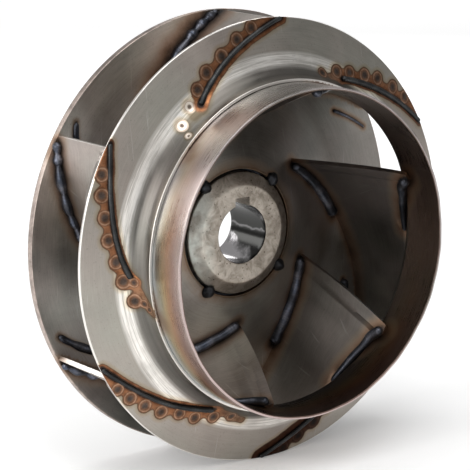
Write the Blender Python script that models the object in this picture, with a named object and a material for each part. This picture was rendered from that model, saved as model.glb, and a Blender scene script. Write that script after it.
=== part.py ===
"""Closed pump impeller, welded up from sheet: back plate, turned hub, six curved blades, spun front
shroud and inlet collar, with the weld beads that join them. Metres, +Z up. The shaft axis is Y, the
inlet eye faces -Y, and the origin is on the axis at the hub's back face."""
import math

import bmesh
import bpy
from mathutils import Vector

# Driving sizes
OUTER_RADIUS = 0.150
SEGMENTS = 72
GAP = 0.0003
BLADES = 6

# Back plate: flat towards the rim, dished forward round the hub
PLATE_BACK_Y = -0.0065
PLATE_THICKNESS = 0.005
DISH_FOOT_RADIUS = 0.1067
DISH_BEND_RADIUS = 0.040
DISH_SLOPE = math.radians(22)
PLATE_HOLE_RADIUS = 0.0440

# Hub
HUB_RADIUS = 0.0421
HUB_NOSE_RADIUS = 0.0336
HUB_NOSE_Y = -0.0400
HUB_SHOULDER_Y = -0.0348
HUB_EDGE = 0.001
BORE_RADIUS = 0.020
BORE_EDGE = 0.0006
KEYWAY_WIDTH = 0.012
KEYWAY_TOP = 0.0253

# Front shroud: conical ring, quarter-round flare and short neck
SHROUD_THICKNESS = 0.002
SHROUD_RIM_Y = -0.0680
SHROUD_SLOPE = math.radians(14.6)
NECK_RADIUS = 0.11185
NECK_LIP_Y = -0.0901
FLARE_RADIUS = 0.015
FLARE_STEPS = 6

# Inlet collar, slipped into the neck
COLLAR_RADIUS = 0.10955
COLLAR_WALL = 0.002
COLLAR_FRONT_Y = -0.1191
COLLAR_BACK_Y = -0.0868

# Blades: a rounded path on the plate and a flatter one on the shroud, joined by straight lines
BLADE_THICKNESS = 0.003
ROOT_RADIUS = 0.069
ROOT_ANGLE = 338.0
TIP_CORNER_RADIUS = 0.1055
TIP_CORNER_ANGLE = 321.6
TIP_CORNER_Y = -0.0945
OUTLET_RADIUS = 0.1485
OUTLET_ANGLE = 268.6
PLATE_PATH_BEND = 0.131
SHROUD_PATH_BEND = 0.160
PATH_STEPS = 18
PATH_NUDGE = 0.005
BLADE_ROWS = 5
BLADE_OVERRUN = 0.12
PASSAGE_START_RADIUS = 0.055
FLANGE_WIDTH = 0.014
FLANGE_THICKNESS = 0.0025
FLANGE_START = 0.34
FLANGE_TAPER = 0.12
FLANGE_LEAST = 0.02
FLANGE_LAP = 0.4
TOP_SHARE = 0.8

# Weld beads: the radius of each kind, and the radii on the impeller where its run starts and ends
FILLET_BEAD = 0.0028
OUTLET_BEAD = 0.0033
SEAM_BEAD = 0.0021
HUB_BEAD = 0.0024
HUB_BEAD_SIDES = 10
BEAD_STEPS = 9
BEAD_START_SHARE = 0.02
HALVINGS = 30
PLATE_FILLET_END = 0.100
OUTLET_BEAD_START = 0.108
OUTLET_BEAD_END = 0.1405
INLET_FILLET_END = 0.121
SEAM_START = 0.1185
SEAM_END = 0.1465
STITCH_OFFSET = 0.0135
STITCH_START_SHARE = 0.84
STITCH_END_SHARE = 0.99
TACK_WIDTH = 0.0047
TACK_HEIGHT = 0.0030
TACK_RING = 0.0437
TACK_TILT = math.radians(26)
TACK_ANGLES = (48.5, 128.5, 236.8, 322.5)

# Colours as measured on the photograph, in linear values
BARE_STEEL = (0.30, 0.285, 0.26, 1)
DARK_STEEL = (0.17, 0.16, 0.145, 1)
TURNED_STEEL = (0.42, 0.39, 0.35, 1)
WELD_STEEL = (0.05, 0.05, 0.055, 1)


def clear_scene():
    for obj in list(bpy.data.objects):
        bpy.data.objects.remove(obj, do_unlink=True)


def material(name, colour, roughness, metallic=1.0):
    made = bpy.data.materials.new(name)
    made.use_nodes = True
    shader = made.node_tree.nodes["Principled BSDF"]
    shader.inputs["Base Color"].default_value = colour
    shader.inputs["Roughness"].default_value = roughness
    shader.inputs["Metallic"].default_value = metallic
    made.diffuse_color = colour
    return made


def add_object(name, mesh, finish):
    if not mesh.materials:
        mesh.materials.append(finish)
    obj = bpy.data.objects.new(name, mesh)
    bpy.context.scene.collection.objects.link(obj)
    return obj


def smooth(mesh, angle=35):
    mesh.shade_smooth()
    mesh.set_sharp_from_angle(angle=math.radians(angle))


def mesh_of(name, shape):
    bmesh.ops.recalc_face_normals(shape, faces=shape.faces)
    mesh = bpy.data.meshes.new(name)
    shape.to_mesh(mesh)
    shape.free()
    return mesh


def turned(name, profile):
    """A ring whose section is the closed outline of (radius, y) points. A flat facet faces straight down."""
    shape = bmesh.new()
    rings = []
    for i in range(SEGMENTS):
        turn = 2 * math.pi * (i + 0.5) / SEGMENTS
        rings.append([shape.verts.new((r * math.cos(turn), y, r * math.sin(turn))) for r, y in profile])
    for i in range(SEGMENTS):
        here, there = rings[i], rings[(i + 1) % SEGMENTS]
        for j in range(len(profile)):
            k = (j + 1) % len(profile)
            shape.faces.new((here[j], here[k], there[k], there[j]))
    return mesh_of(name, shape)


def arc(centre, radius, start, end, steps):
    """Points (radius, y) of an arc in the section plane, with its angles counted from +radius to +y."""
    angles = [start + (end - start) * i / steps for i in range(steps + 1)]
    return [(centre[0] + radius * math.cos(a), centre[1] + radius * math.sin(a)) for a in angles]


def plate_side(offset):
    """Section of the back plate's back, moved forward by offset, from the rim inwards."""
    bend = DISH_BEND_RADIUS - offset
    centre = (DISH_FOOT_RADIUS, PLATE_BACK_Y - DISH_BEND_RADIUS)
    curve = arc(centre, bend, math.radians(90), math.radians(90) + DISH_SLOPE, 3)
    foot = curve[-1]
    run = foot[0] - PLATE_HOLE_RADIUS
    inner = (PLATE_HOLE_RADIUS, foot[1] - run * math.tan(DISH_SLOPE))
    return [(OUTER_RADIUS, PLATE_BACK_Y - offset)] + curve + [inner]


def shroud_side(depth):
    """Section of the shroud's outer face, moved into the sheet by depth, from the rim to the neck's lip."""
    slope = math.tan(SHROUD_SLOPE)
    centre_r = NECK_RADIUS + FLARE_RADIUS
    line_y = SHROUD_RIM_Y - slope * (OUTER_RADIUS - centre_r)
    centre = (centre_r, line_y - FLARE_RADIUS / math.cos(SHROUD_SLOPE))
    radius = FLARE_RADIUS + depth
    curve = arc(centre, radius, math.pi / 2 + SHROUD_SLOPE, math.pi, FLARE_STEPS)
    foot = curve[0]
    rim = (OUTER_RADIUS, foot[1] + slope * (OUTER_RADIUS - foot[0]))
    return [rim] + curve + [(NECK_RADIUS - depth, NECK_LIP_Y)]


def build_plate(finish):
    profile = plate_side(0) + plate_side(PLATE_THICKNESS)[::-1]
    mesh = turned("back_plate", profile)
    smooth(mesh)
    return add_object("back_plate", mesh, finish)


def build_shroud(finish):
    profile = shroud_side(0) + shroud_side(SHROUD_THICKNESS)[::-1]
    mesh = turned("front_shroud", profile)
    smooth(mesh)
    return add_object("front_shroud", mesh, finish)


def build_collar(finish):
    inner = COLLAR_RADIUS - COLLAR_WALL
    profile = [
        (COLLAR_RADIUS, COLLAR_FRONT_Y),
        (COLLAR_RADIUS, COLLAR_BACK_Y),
        (inner, COLLAR_BACK_Y),
        (inner, COLLAR_FRONT_Y),
    ]
    mesh = turned("inlet_collar", profile)
    smooth(mesh)
    return add_object("inlet_collar", mesh, finish)


def build_hub(finish):
    profile = [
        (HUB_NOSE_RADIUS, HUB_NOSE_Y),
        (HUB_RADIUS, HUB_SHOULDER_Y),
        (HUB_RADIUS, -HUB_EDGE),
        (HUB_RADIUS - HUB_EDGE, 0.0),
        (BORE_RADIUS + BORE_EDGE, 0.0),
        (BORE_RADIUS, -BORE_EDGE),
        (BORE_RADIUS, HUB_NOSE_Y + BORE_EDGE),
        (BORE_RADIUS + BORE_EDGE, HUB_NOSE_Y),
    ]
    mesh = turned("hub", profile)
    hub = add_object("hub", mesh, finish)
    slot = bmesh.new()
    bmesh.ops.create_cube(slot, size=1.0)
    length = 2 * abs(HUB_NOSE_Y)
    slot_low = BORE_RADIUS / 2
    bmesh.ops.scale(slot, vec=(KEYWAY_WIDTH, length, KEYWAY_TOP - slot_low), verts=slot.verts)
    bmesh.ops.translate(slot, vec=(0, HUB_NOSE_Y / 2, (KEYWAY_TOP + slot_low) / 2), verts=slot.verts)
    cutter = add_object("keyway_cutter", mesh_of("keyway_cutter", slot), finish)
    cutter.hide_render = True
    cutter.display_type = "WIRE"
    cut = hub.modifiers.new("keyway", "BOOLEAN")
    cut.object = cutter
    smooth(mesh)
    return hub


def plan_point(radius, degrees):
    return Vector((radius * math.cos(math.radians(degrees)), 0, radius * math.sin(math.radians(degrees))))


def bent_path(start, end, bend):
    """A function of 0 to 1 along the arc of radius bend from start to end, hollow towards the axis."""
    chord = end - start
    middle = (start + end) / 2
    across = Vector((chord.z, 0, -chord.x)).normalized()
    if across.dot(-middle) < 0:
        across = -across
    centre = middle + across * math.sqrt(bend**2 - (chord.length / 2) ** 2)
    first = math.atan2(start.z - centre.z, start.x - centre.x)
    last = math.atan2(end.z - centre.z, end.x - centre.x)
    sweep = (last - first + math.pi) % (2 * math.pi) - math.pi

    def at(s):
        a = first + sweep * s
        return centre + Vector((bend * math.cos(a), 0, bend * math.sin(a)))

    return at


plate_path = bent_path(
    plan_point(ROOT_RADIUS, ROOT_ANGLE), plan_point(OUTLET_RADIUS, OUTLET_ANGLE), PLATE_PATH_BEND
)
shroud_path = bent_path(
    plan_point(TIP_CORNER_RADIUS, TIP_CORNER_ANGLE), plan_point(OUTLET_RADIUS, OUTLET_ANGLE), SHROUD_PATH_BEND
)


def height_at(side, radius):
    """The y of a section line at this radius, for lines that run inwards from the rim."""
    for (r1, y1), (r2, y2) in zip(side, side[1:]):
        if r2 <= radius <= r1 and r1 > r2:
            return y1 + (y2 - y1) * (r1 - radius) / (r1 - r2)
    return side[0][1] if radius > side[0][0] else side[-1][1]


PLATE_FRONT = plate_side(PLATE_THICKNESS)
SHROUD_INSIDE = shroud_side(SHROUD_THICKNESS)


def blade_foot(s):
    """Where the blade's middle line meets the plate, s running from the inlet edge to the outlet edge."""
    point = plate_path(s)
    point.y = height_at(PLATE_FRONT, math.hypot(point.x, point.z))
    return point


def blade_head(s):
    """Where the blade's middle line meets the shroud, or the level of its lip at the inlet edge."""
    point = shroud_path(s)
    point.y = height_at(SHROUD_INSIDE, math.hypot(point.x, point.z))
    return point


def blade_point(s, v, aside=0.0):
    """A point of the blade, v from plate to shroud, moved aside towards its outward (convex) face."""
    foot, head = blade_foot(s), blade_head(s)
    point = foot.lerp(head, v)
    low, high = max(s - PATH_NUDGE, 0), min(s + PATH_NUDGE, 1)
    along = plate_path(high).lerp(shroud_path(high), v) - plate_path(low).lerp(shroud_path(low), v)
    outward = along.cross(head - foot).normalized()
    if outward.dot(Vector((point.x, 0, point.z))) < 0:
        outward = -outward
    return point + outward * aside


def passage_mesh():
    """The space that the blades fill between plate, shroud and collar, a gap clear of all three."""
    start = PASSAGE_START_RADIUS
    back = plate_side(PLATE_THICKNESS + GAP)
    outline = [p for p in back if p[0] > start] + [(start, height_at(back, start))]
    inner = COLLAR_RADIUS - COLLAR_WALL - GAP
    collar_end = COLLAR_BACK_Y + GAP
    outline += [(start, TIP_CORNER_Y), (inner, TIP_CORNER_Y), (inner, collar_end)]
    outline.append((NECK_RADIUS - SHROUD_THICKNESS - GAP, collar_end))
    front = shroud_side(SHROUD_THICKNESS + GAP)
    outline += [p for p in front if p[1] > collar_end][::-1]
    return turned("blade_passage", outline)


def shares(start, end, steps=BEAD_STEPS):
    return [start + (end - start) * i / steps for i in range(steps + 1)]


def blade_blank():
    """An L-shaped sheet, longer than the passage at both edges, with its flange under the shroud."""
    shape = bmesh.new()
    half = BLADE_THICKNESS / 2
    rows = shares(-BLADE_OVERRUN, 1 + BLADE_OVERRUN, BLADE_ROWS)
    sections = []
    for s in shares(0, 1, PATH_STEPS):
        width = FLANGE_WIDTH * min(max((s - FLANGE_START) / FLANGE_TAPER, FLANGE_LEAST), 1)
        hollow = [blade_point(s, v, -half) for v in rows]
        rounded = [blade_point(s, v, half) for v in rows]
        flange = []
        for share in (0.0, 0.5, 1.0):
            top = blade_point(s, 1, half + width * share)
            top.y = height_at(SHROUD_INSIDE, math.hypot(top.x, top.z))
            flange.append(top)
        lift = Vector((0, 2 * GAP + FLANGE_THICKNESS * FLANGE_LAP, 0))
        drop = Vector((0, GAP + FLANGE_THICKNESS, 0))
        outline = hollow[:-1]
        if s > FLANGE_START:
            outline.append(blade_point(s, 1, -half) - lift)
            outline += [p - lift for p in flange]
            outline += [p + drop for p in flange[::-1]]
        else:
            top = blade_point(s, 1, half)
            outline += [hollow[-1], rounded[-1].lerp(hollow[-1], 0.5)]
            outline += [rounded[-1].lerp(top, share) for share in shares(0, TOP_SHARE, len(flange) + 1)]
        outline += rounded[:-1][::-1]
        sections.append([shape.verts.new(p) for p in outline])
    for here, there in zip(sections, sections[1:]):
        for j in range(len(here)):
            k = (j + 1) % len(here)
            shape.faces.new((here[j], here[k], there[k], there[j]))
    shape.faces.new(sections[0])
    shape.faces.new(sections[-1])
    bmesh.ops.triangulate(shape, faces=shape.faces)
    return mesh_of("blade_blank", shape)


def build_blades(finish):
    passage = add_object("blade_passage", passage_mesh(), finish)
    passage.hide_render = True
    passage.display_type = "WIRE"
    blank = add_object("blade_blank", blade_blank(), finish)
    trim = blank.modifiers.new("trim", "BOOLEAN")
    trim.operation = "INTERSECT"
    trim.object = passage
    bpy.context.view_layer.update()
    graph = bpy.context.evaluated_depsgraph_get()
    mesh = bpy.data.meshes.new_from_object(blank.evaluated_get(graph))
    mesh.name = "blade"
    smooth(mesh, 30)
    bpy.data.objects.remove(blank, do_unlink=True)
    for number in range(BLADES):
        blade = add_object(f"blade_{number + 1}", mesh, finish)
        blade.rotation_euler.y = -math.radians(360 / BLADES * number)


def clearance(side, point):
    """How far a point is from a section line."""
    here = Vector((math.hypot(point.x, point.z), point.y))
    nearest = []
    for a, b in zip(side, side[1:]):
        a, b = Vector(a), Vector(b)
        run = b - a
        share = min(max((here - a).dot(run) / run.length_squared, 0), 1)
        nearest.append((here - a - run * share).length)
    return min(nearest)


def bead_centre(s, side, from_v, aside, reach):
    """The point beside the blade, aside from its middle, that lies reach away from plate or shroud."""
    low, high = from_v, 0.5
    for _ in range(HALVINGS):
        v = (low + high) / 2
        if clearance(side, blade_point(s, v, aside)) < reach:
            low = v
        else:
            high = v
    return blade_point(s, high, aside)


def share_at(path, radius):
    """The share of a blade path at which it crosses this radius."""
    low, high = 0.0, 1.0
    for _ in range(HALVINGS):
        s = (low + high) / 2
        if path(s).length < radius:
            low = s
        else:
            high = s
    return low


def add_bead(name, points, radius, number, finish):
    curve = bpy.data.curves.new(name, "CURVE")
    curve.dimensions = "3D"
    spline = curve.splines.new("POLY")
    spline.points.add(len(points) - 1)
    for target, point in zip(spline.points, points):
        target.co = (*point, 1)
    curve.bevel_depth = radius
    curve.bevel_resolution = 1
    curve.use_fill_caps = True
    curve.materials.append(finish)
    bead = bpy.data.objects.new(name, curve)
    bpy.context.scene.collection.objects.link(bead)
    bead.rotation_euler.y = -math.radians(360 / BLADES * number)


def build_beads(finish):
    half = BLADE_THICKNESS / 2
    neck = NECK_RADIUS - SHROUD_THICKNESS
    collar_inside = COLLAR_RADIUS - COLLAR_WALL
    inlet_side = [p for p in SHROUD_INSIDE if p[1] > COLLAR_BACK_Y]
    inlet_side += [(neck, COLLAR_BACK_Y), (collar_inside, COLLAR_BACK_Y), (collar_inside, COLLAR_FRONT_Y)]
    reach = FILLET_BEAD + GAP
    aside = half + reach
    run = shares(BEAD_START_SHARE, share_at(plate_path, PLATE_FILLET_END))
    root = [bead_centre(s, PLATE_FRONT, 0.0, -aside, reach) for s in run]
    run = shares(BEAD_START_SHARE, share_at(shroud_path, INLET_FILLET_END), 2 * BEAD_STEPS)
    inlet = [bead_centre(s, inlet_side, 1.0, -aside, reach + GAP / 2) for s in run]
    run = shares(STITCH_START_SHARE, STITCH_END_SHARE)
    stitch = [bead_centre(s, PLATE_FRONT, 0.0, -STITCH_OFFSET, reach) for s in run]
    reach = OUTLET_BEAD + GAP
    aside = half + reach
    run = shares(share_at(plate_path, OUTLET_BEAD_START), share_at(plate_path, OUTLET_BEAD_END))
    outlet = [bead_centre(s, PLATE_FRONT, 0.0, aside, reach) for s in run]
    over = shroud_side(-SEAM_BEAD - GAP)
    seam = []
    for s in shares(share_at(shroud_path, SEAM_START), share_at(shroud_path, SEAM_END)):
        point = shroud_path(s)
        point.y = height_at(over, point.length)
        seam.append(point)
    for number in range(BLADES):
        add_bead(f"root_fillet_{number + 1}", root, FILLET_BEAD, number, finish)
        add_bead(f"inlet_fillet_{number + 1}", inlet, FILLET_BEAD, number, finish)
        add_bead(f"stitch_weld_{number + 1}", stitch, FILLET_BEAD, number, finish)
        add_bead(f"outlet_weld_{number + 1}", outlet, OUTLET_BEAD, number, finish)
        add_bead(f"shroud_seam_{number + 1}", seam, SEAM_BEAD, number, finish)


def build_hub_weld(finish):
    """The ring of weld in the corner between the hub's side and the back of the plate."""
    reach = HUB_BEAD + GAP
    middle_r = HUB_RADIUS + reach
    plate_back = height_at(plate_side(0), middle_r)
    middle_y = plate_back + reach / math.cos(DISH_SLOPE) + GAP
    profile = arc((middle_r, middle_y), HUB_BEAD, 0, 2 * math.pi, HUB_BEAD_SIDES)[:-1]
    mesh = turned("hub_weld", profile)
    smooth(mesh)
    return add_object("hub_weld", mesh, finish)


def build_tacks(finish):
    """Small domes that bridge the joint between the hub's nose and the plate."""
    shape = bmesh.new()
    bmesh.ops.create_uvsphere(shape, u_segments=12, v_segments=6, radius=1.0)
    lower = [v for v in shape.verts if v.co.z < -GAP]
    bmesh.ops.delete(shape, geom=lower, context="VERTS")
    bmesh.ops.holes_fill(shape, edges=[e for e in shape.edges if e.is_boundary])
    bmesh.ops.scale(shape, vec=(TACK_WIDTH, TACK_WIDTH, TACK_HEIGHT), verts=shape.verts)
    mesh = mesh_of("hub_tack", shape)
    smooth(mesh)
    plate_y = height_at(PLATE_FRONT, TACK_RING)
    lift = 2 * GAP
    for number, degrees in enumerate(TACK_ANGLES):
        tack = add_object(f"hub_tack_{number + 1}", mesh, finish)
        out = plan_point(1.0, degrees)
        up = (Vector((0, -1, 0)) * math.cos(TACK_TILT) + out * math.sin(TACK_TILT)).normalized()
        tack.rotation_euler = up.to_track_quat("Z", "Y").to_euler()
        tack.location = plan_point(TACK_RING, degrees) + Vector((0, plate_y, 0)) + up * lift


def main():
    clear_scene()
    bare = material("brushed_sheet", BARE_STEEL, 0.38)
    dull = material("dull_sheet", DARK_STEEL, 0.48)
    machined = material("turned_steel", TURNED_STEEL, 0.3)
    weld = material("weld_metal", WELD_STEEL, 0.5, 0.8)
    build_plate(dull)
    build_hub(machined)
    build_shroud(bare)
    build_collar(bare)
    build_blades(dull)
    build_beads(weld)
    build_hub_weld(weld)
    build_tacks(weld)


main()
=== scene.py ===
"""Closed pump impeller, 300 mm across, welded up from steel sheet round a turned hub. The shaft axis is Y,
the inlet eye faces -Y, +Z is up, and sizes are in metres unless a comment says millimetres. The sections
follow the order in which it is made."""
import cmath
import math
import random

import bmesh
import bpy
import numpy as np
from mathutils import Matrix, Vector, noise
from mathutils.kdtree import KDTree


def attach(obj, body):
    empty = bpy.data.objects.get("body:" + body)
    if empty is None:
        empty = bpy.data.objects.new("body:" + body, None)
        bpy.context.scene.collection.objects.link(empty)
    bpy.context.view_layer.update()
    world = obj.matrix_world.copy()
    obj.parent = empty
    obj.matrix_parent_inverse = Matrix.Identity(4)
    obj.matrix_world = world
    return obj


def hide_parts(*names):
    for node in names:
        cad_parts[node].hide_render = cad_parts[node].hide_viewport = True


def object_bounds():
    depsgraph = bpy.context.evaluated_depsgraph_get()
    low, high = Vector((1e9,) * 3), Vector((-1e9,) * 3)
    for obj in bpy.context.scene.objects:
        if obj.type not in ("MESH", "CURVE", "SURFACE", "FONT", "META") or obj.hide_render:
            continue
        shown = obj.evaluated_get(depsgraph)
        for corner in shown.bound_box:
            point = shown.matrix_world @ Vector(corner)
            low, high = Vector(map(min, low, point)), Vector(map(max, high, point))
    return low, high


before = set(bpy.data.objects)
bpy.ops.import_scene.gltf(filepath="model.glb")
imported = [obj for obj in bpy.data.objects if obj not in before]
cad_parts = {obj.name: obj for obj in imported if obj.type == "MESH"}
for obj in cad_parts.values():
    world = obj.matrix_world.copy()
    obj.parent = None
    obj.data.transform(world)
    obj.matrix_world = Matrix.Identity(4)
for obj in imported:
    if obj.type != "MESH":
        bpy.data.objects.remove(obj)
cad_low, cad_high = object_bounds()

# Back plate
# The rear wall of the impeller: a round blank of 5 mm steel, pressed forward into a shallow dish towards the
# hub. Its face keeps the dull skin of the rolling mill, and the cut rim is cleaned to bare pinkish metal.
OUTER_RADIUS = 0.150
PLATE_BACK = -0.0065
PLATE_THICKNESS = 0.005
PLATE_HOLE = 0.0440
DISH_FOOT = 0.1067
DISH_BEND = 0.040
DISH_SLOPE = math.radians(22)
PLATE_EDGE = 0.0006
PLATE_STEP = 0.0020
PLATE_TURNS = 432
CLEANED_BAND = 0.0007
PAINTED_LIGHT_START = 0.126
PAINTED_LIGHT_WIDTH = 0.010
MILL_PALE = (0.43, 0.41, 0.38)
MILL_DARK = (0.255, 0.243, 0.222)
RIM_PINK = (0.50, 0.42, 0.375)
# Painted shade for the gap round the hub's hole
HOLE_GAP_SHADE = (0.022, 0.022, 0.023)
SCRATCH_BRIGHT = (0.62, 0.60, 0.57)
# The cockle that welding gives a sheet: each wave's size, how many lie round the rim, and their phase
COCKLE = ((0.00022, 6, 0.6), (0.00018, 2, -0.9))
# Painted light and shade on the plate near the hub and near the rim: how much paler or darker, by the turn in
# degrees
INNER_PAINTED_LIGHT = ((0, 0.85), (45, 0.6), (90, 0.55), (120, 0.9), (150, 1.1), (210, 1.0), (250, 1.15), (280, 1.1),
               (360, 0.85))
OUTER_PAINTED_LIGHT = ((0, 0.8), (60, 0.9), (100, 1.3), (135, 1.45), (165, 1.8), (185, 1.6), (205, 1.35), (222, 0.8),
               (238, 0.5), (270, 0.5), (360, 0.8))


def arc(centre, radius, start, end, steps=10):
    """Points (radius, y) of an arc in the section plane, its angles in degrees from +radius towards +y."""
    angles = np.radians(np.linspace(start, end, steps + 1))
    return [(centre[0] + radius * math.cos(a), centre[1] + radius * math.sin(a)) for a in angles]


def plate_line(depth):
    """Section of the plate's back face moved forward by depth, from the rim to the hub hole."""
    centre = (DISH_FOOT, PLATE_BACK - DISH_BEND)
    foot = arc(centre, DISH_BEND - depth, 90, 90 + math.degrees(DISH_SLOPE))
    inner_y = foot[-1][1] - (foot[-1][0] - PLATE_HOLE) * math.tan(DISH_SLOPE)
    return [(OUTER_RADIUS, PLATE_BACK - depth)] + foot + [(PLATE_HOLE, inner_y)]


def eased(outline, cut, sharp=40):
    """A closed section with each sharp corner taken back by cut and rounded."""
    made = []
    corners = [Vector(p) for p in outline]
    for before, here, after in zip(corners[-1:] + corners[:-1], corners, corners[1:] + corners[:1]):
        into, out = before - here, after - here
        if into.angle(-out) < math.radians(sharp):
            made.append(here)
            continue
        start = here + into.normalized() * cut
        end = here + out.normalized() * cut
        made += [start.lerp(here, t).lerp(here.lerp(end, t), t) for t in (0, 0.25, 0.5, 0.75, 1)]
    return made


def stepped(outline, step):
    """The same closed section with points added so that no run between two is longer than step."""
    made = []
    for here, after in zip(outline, outline[1:] + outline[:1]):
        parts = max(1, math.ceil((after - here).length / step))
        made += [here.lerp(after, i / parts) for i in range(parts)]
    return made


def grid_faces(rows, columns, close_rows, close_columns):
    """Quads of a grid whose vertex at row i and column j has the index i * columns + j."""
    i = np.arange(rows if close_rows else rows - 1)[:, None]
    j = np.arange(columns if close_columns else columns - 1)[None, :]
    up, across = (i + 1) % rows, (j + 1) % columns
    corners = (i * columns + j, i * columns + across, up * columns + across, up * columns + j)
    return np.stack(corners, -1).reshape(-1, 4)


def solid(name, points, faces):
    """A closed mesh object, its faces turned outwards and its surface smooth between sharp edges."""
    mesh = bpy.data.meshes.new(name)
    mesh.from_pydata(np.asarray(points).tolist(), [], [list(map(int, face)) for face in faces])
    shape = bmesh.new()
    shape.from_mesh(mesh)
    bmesh.ops.recalc_face_normals(shape, faces=shape.faces)
    shape.to_mesh(mesh)
    shape.free()
    mesh.shade_smooth()
    mesh.set_sharp_from_angle(angle=math.radians(38))
    piece = bpy.data.objects.new(name, mesh)
    bpy.context.scene.collection.objects.link(piece)
    return piece


def store(piece, name, values):
    """Keeps a number or a vector for each vertex, which the materials read."""
    values = np.asarray(values, np.float32)
    kind, field = ("FLOAT", "value") if values.ndim == 1 else ("FLOAT_VECTOR", "vector")
    piece.data.attributes.new(name, kind, "POINT").data.foreach_set(field, values.ravel())


def points_of(piece):
    co = np.zeros(len(piece.data.vertices) * 3)
    piece.data.vertices.foreach_get("co", co)
    return co.reshape(-1, 3)


def spun(name, outline, turns, push=None):
    """A ring with this closed section. push(radius, y, turn) gives each point's small shift out and along."""
    section = np.array([tuple(p) for p in outline])
    turn = np.repeat(2 * math.pi * np.arange(turns) / turns, len(section))
    radius, y = np.tile(section[:, 0], turns), np.tile(section[:, 1], turns)
    if push:
        out, along = push(radius, y, turn)
        radius, y = radius + out, y + along
    points = np.stack([radius * np.cos(turn), y, radius * np.sin(turn)], -1)
    piece = solid(name, points, grid_faces(turns, len(section), True, True))
    run = np.concatenate([[0], np.cumsum(np.linalg.norm(np.diff(section, axis=0), axis=1))])
    # Grain that runs round the axis: slow along the turn, fast across it
    store(piece, "grain", np.stack([points[:, 0] * 45, points[:, 2] * 45, np.tile(run, turns) * 1500], -1))
    return piece


def node(kind, inputs, tree=None, **settings):
    """One shader node, in the tree of the nodes that lead to it. Each input is a plain value or an output."""
    linked = {key: value for key, value in inputs.items() if isinstance(value, bpy.types.NodeSocket)}
    tree = tree or next(iter(linked.values())).id_data
    made = tree.nodes.new("ShaderNode" + kind)
    for key, value in settings.items():
        setattr(made, key, value)
    for key, value in inputs.items():
        if key in linked:
            tree.links.new(value, made.inputs[key])
        else:
            made.inputs[key].default_value = value
    return made


def calc(operation, first, second=0.0, clamp=False):
    return node("Math", {0: first, 1: second}, operation=operation, use_clamp=clamp).outputs[0]


def plus(first, second, clamp=False):
    return calc("ADD", first, second, clamp)


def minus(first, second):
    return calc("SUBTRACT", first, second)


def times(first, second):
    return calc("MULTIPLY", first, second)


def mixed(share, first, second, blend="MIX"):
    """Two colours mixed. A plain colour is three numbers."""
    inputs = {0: share}
    for key, value in ((6, first), (7, second)):
        inputs[key] = value if isinstance(value, bpy.types.NodeSocket) else (*value, 1)
    return node("Mix", inputs, data_type="RGBA", blend_type=blend).outputs[2]


def shaded(colour, by):
    return mixed(1.0, colour, by, "MULTIPLY")


def ramp(value, stops):
    """A colour ramp with rising stops of (place, colour or grey)."""
    made = node("ValToRGB", {0: value})
    elements = made.color_ramp.elements
    elements[0].position, elements[-1].position = stops[0][0], stops[-1][0]
    for place, _ in stops[1:-1]:
        elements.new(place)
    for element, (_, colour) in zip(elements, stops):
        element.color = (*colour, 1) if isinstance(colour, tuple) else (colour, colour, colour, 1)
    return made.outputs[0]


def cloud(where, scale, detail=4.0, rough=0.55, distort=0.0):
    inputs = {"Vector": where, "Scale": scale, "Detail": detail, "Roughness": rough, "Distortion": distort}
    return node("TexNoise", inputs).outputs[0]


def stored(place, name, output="Fac"):
    """A value that the mesh keeps for each vertex."""
    return node("Attribute", {}, place.id_data, attribute_name=name).outputs[output]


def axes_of(place):
    return node("SeparateXYZ", {0: place}).outputs


def radius_of(place):
    """The distance from the shaft axis."""
    x, _, z = axes_of(place)
    return calc("SQRT", plus(calc("POWER", x, 2.0), calc("POWER", z, 2.0)))


def about_nought(share, width):
    """A share from 0 to 1 as a value from -width / 2 to width / 2."""
    return times(minus(share, 0.5), width)


def shaken(place, value, fine, wide):
    """A distance in millimetres made ragged, by up to fine and wide millimetres on two scales."""
    ragged = about_nought(cloud(place, 420, 4, 0.65), fine * 2)
    wander = about_nought(cloud(place, 75, 3, 0.5), wide * 2)
    return plus(value, plus(ragged, wander))


def new_finish(name):
    """A new material, and the place on the piece for its nodes to start from."""
    made = bpy.data.materials.new(name)
    made.use_nodes = True
    return made, node("TexCoord", {}, made.node_tree).outputs["Object"]


def metal(made, colour, rough, height, strength, depth, metallic=1.0):
    """Gives a new material a metal's colour, its roughness and the relief of its skin."""
    shader = made.node_tree.nodes["Principled BSDF"]
    shader.inputs["Metallic"].default_value = metallic
    relief = node("Bump", {"Strength": strength, "Distance": depth, "Height": height}).outputs[0]
    for key, value in (("Base Color", colour), ("Roughness", rough), ("Normal", relief)):
        made.node_tree.links.new(value, shader.inputs[key])
    return made


def scorched(place, colour, reach):
    """The colours that heat leaves round a weld: black scale, brown, orange brown, then straw. Also returns
    how far they cover the sheet's own colour."""
    gap = shaken(place, stored(place, "weld"), 0.9, 2.6)
    share = times(gap, 1 / reach)
    temper = ramp(share, [
        (0.08, (0.035, 0.031, 0.030)), (0.20, (0.070, 0.048, 0.036)), (0.34, (0.16, 0.095, 0.058)),
        (0.55, (0.27, 0.165, 0.10)), (0.85, (0.36, 0.27, 0.18))])
    cover = ramp(share, [(0.10, 1.0), (0.30, 0.88), (0.55, 0.62), (0.78, 0.28), (1.0, 0.0)])
    return mixed(cover, colour, temper), cover


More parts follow.
